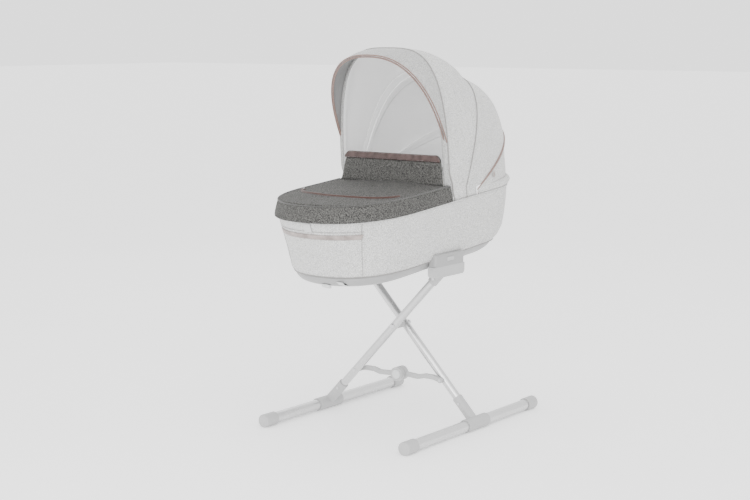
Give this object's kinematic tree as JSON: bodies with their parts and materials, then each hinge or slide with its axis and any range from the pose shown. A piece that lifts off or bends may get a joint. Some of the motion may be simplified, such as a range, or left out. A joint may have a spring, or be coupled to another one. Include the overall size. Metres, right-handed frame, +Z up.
{
  "type": "bassinet on stand",
  "caption": "Baby bassinet with a folding hood, sun visor and zipped apron, resting on an X-shaped folding tube stand with floor bars.",
  "frame": {"origin": "centre of the footprint on the floor, midway between the ends and the sides", "axes": "+X towards the hood end, +Y across to the far side, +Z up"},
  "size_m": [0.9176, 0.569, 1.1502],
  "materials": {
    "tube": "satin anodised",
    "grey_plastic": "fine texture",
    "dark_plastic": "fine texture",
    "pale_plastic": "satin",
    "steel": "plated",
    "light_fabric": "melange weave",
    "dark_fabric": "melange weave",
    "cotton": "quilted cotton",
    "board": "moulded",
    "leather_trim": "grained",
    "zip_tape": "woven tape"
  },
  "bodies": {
    "stand": {"foot_tube_a": "tube", "foot_caps_a": "grey_plastic", "foot_joint_a": "grey_plastic", "leg_tube_a": "tube", "bracket_a": "grey_plastic", "leg_rivets_a": "steel", "pivot_bolt": "steel", "pivot_nut": "steel", "pivot_spacer": "grey_plastic", "link_pin_a": "steel"},
    "crossing_leg": {"foot_tube_b": "tube", "foot_caps_b": "grey_plastic", "foot_joint_b": "grey_plastic", "leg_tube_b": "tube", "bracket_b": "grey_plastic", "leg_rivets_b": "steel", "pivot_bush": "grey_plastic", "link_pin_b": "steel"},
    "link_near": {"link_arm_a": "grey_plastic", "lock_spring": "steel"},
    "link_far": {"link_arm_b": "grey_plastic"},
    "lock": {"lock_button": "pale_plastic"},
    "carrycot": {"base_tray": "dark_plastic", "body_shell": "light_fabric", "base_board": "board", "inner_liner": "cotton", "mattress": "cotton", "rim_ring": "pale_plastic", "adapter_near": "dark_plastic", "adapter_far": "dark_plastic", "release_spring_near": "steel", "release_spring_far": "steel", "leather_strip": "leather_trim", "front_tab": "leather_trim", "apron_cover": "dark_fabric", "flap_cord": "dark_fabric", "zip_tape": "zip_tape", "zip_puller": "leather_trim", "hood_hubs": "dark_plastic", "bow_rear": "dark_plastic", "hood_cloth_rear": "light_fabric", "hood_tag": "light_fabric"},
    "hood_middle": {"bow_mid": "dark_plastic", "hood_cloth_mid": "light_fabric"},
    "hood_front": {"bow_front": "dark_plastic", "hood_cloth_front": "light_fabric"},
    "visor": {"visor_bow": "dark_plastic", "visor_cloth": "light_fabric"},
    "flap": {"apron_flap": "dark_fabric", "flap_band": "leather_trim"},
    "release_near": {"release_button_near": "pale_plastic"},
    "release_far": {"release_button_far": "pale_plastic"},
    "vent": {"vent_knob": "pale_plastic", "vent_disc": "dark_plastic"}
  },
  "joints": [
    {"name": "stand_fold", "type": "hinge", "parent": "stand", "child": "crossing_leg", "pos_m": [0, 0, 0.29828], "axis": [1, 0, 0], "range_deg": [0, 62]},
    {"name": "link_near_turn", "type": "hinge", "parent": "stand", "child": "link_near", "pos_m": [0, 0.15, 0.14], "axis": [1, 0, 0], "range_deg": [0, 104]},
    {"name": "link_far_turn", "type": "hinge", "parent": "crossing_leg", "child": "link_far", "pos_m": [0, -0.15, 0.14], "axis": [1, 0, 0], "range_deg": [-104, 0]},
    {"name": "lock_press", "type": "slide", "parent": "link_near", "child": "lock", "axis": [1, 0, 0], "range_m": [0, 0.003], "stiffness_N_per_m": 400, "springref_m": -0.004, "deforming": ["lock_spring"]},
    {"name": "carrycot_lift", "type": "slide", "parent": "stand", "child": "carrycot", "axis": [0, 0, 1], "range_m": [0, 0.76]},
    {"name": "hood_fold", "type": "hinge", "parent": "carrycot", "child": "hood_middle", "pos_m": [0.0655, 0, 0.716], "axis": [0, 1, 0], "range_deg": [0, 34], "deforming": ["hood_cloth_mid"]},
    {"name": "hood_front_fold", "type": "hinge", "parent": "hood_middle", "child": "hood_front", "pos_m": [0.0655, 0, 0.716], "axis": [0, 1, 0], "range_deg": [0, 27], "deforming": ["hood_cloth_front"]},
    {"name": "visor_fold", "type": "hinge", "parent": "hood_front", "child": "visor", "pos_m": [-0.02623, 0, 0.86959], "axis": [0, 1, 0], "range_deg": [0, 13], "deforming": ["visor_cloth"]},
    {"name": "flap_fold", "type": "hinge", "parent": "carrycot", "child": "flap", "pos_m": [-0.0395, 0, 0.7475], "axis": [0, 1, 0], "range_deg": [-85, 0]},
    {"name": "release_near_press", "type": "slide", "parent": "carrycot", "child": "release_near", "axis": [0, 1, 0], "range_m": [0, 0.002], "stiffness_N_per_m": 400, "springref_m": -0.003, "deforming": ["release_spring_near"]},
    {"name": "release_far_press", "type": "slide", "parent": "carrycot", "child": "release_far", "axis": [0, -1, 0], "range_m": [0, 0.002], "stiffness_N_per_m": 400, "springref_m": -0.003, "deforming": ["release_spring_far"]},
    {"name": "vent_turn", "type": "hinge", "parent": "carrycot", "child": "vent", "pos_m": [-0.366, -0.014, 0.474], "axis": [-0.454, 0, -0.891], "range_deg": [0, 90]}
  ],
  "couplings": [
    {"joint": "link_near_turn", "follows": "stand_fold", "ratio": 1.675},
    {"joint": "link_far_turn", "follows": "stand_fold", "ratio": -1.675},
    {"joint": "carrycot_lift", "follows": "stand_fold", "m_per_rad": 0.7},
    {"joint": "hood_front_fold", "follows": "hood_fold", "ratio": 0.79}
  ]
}
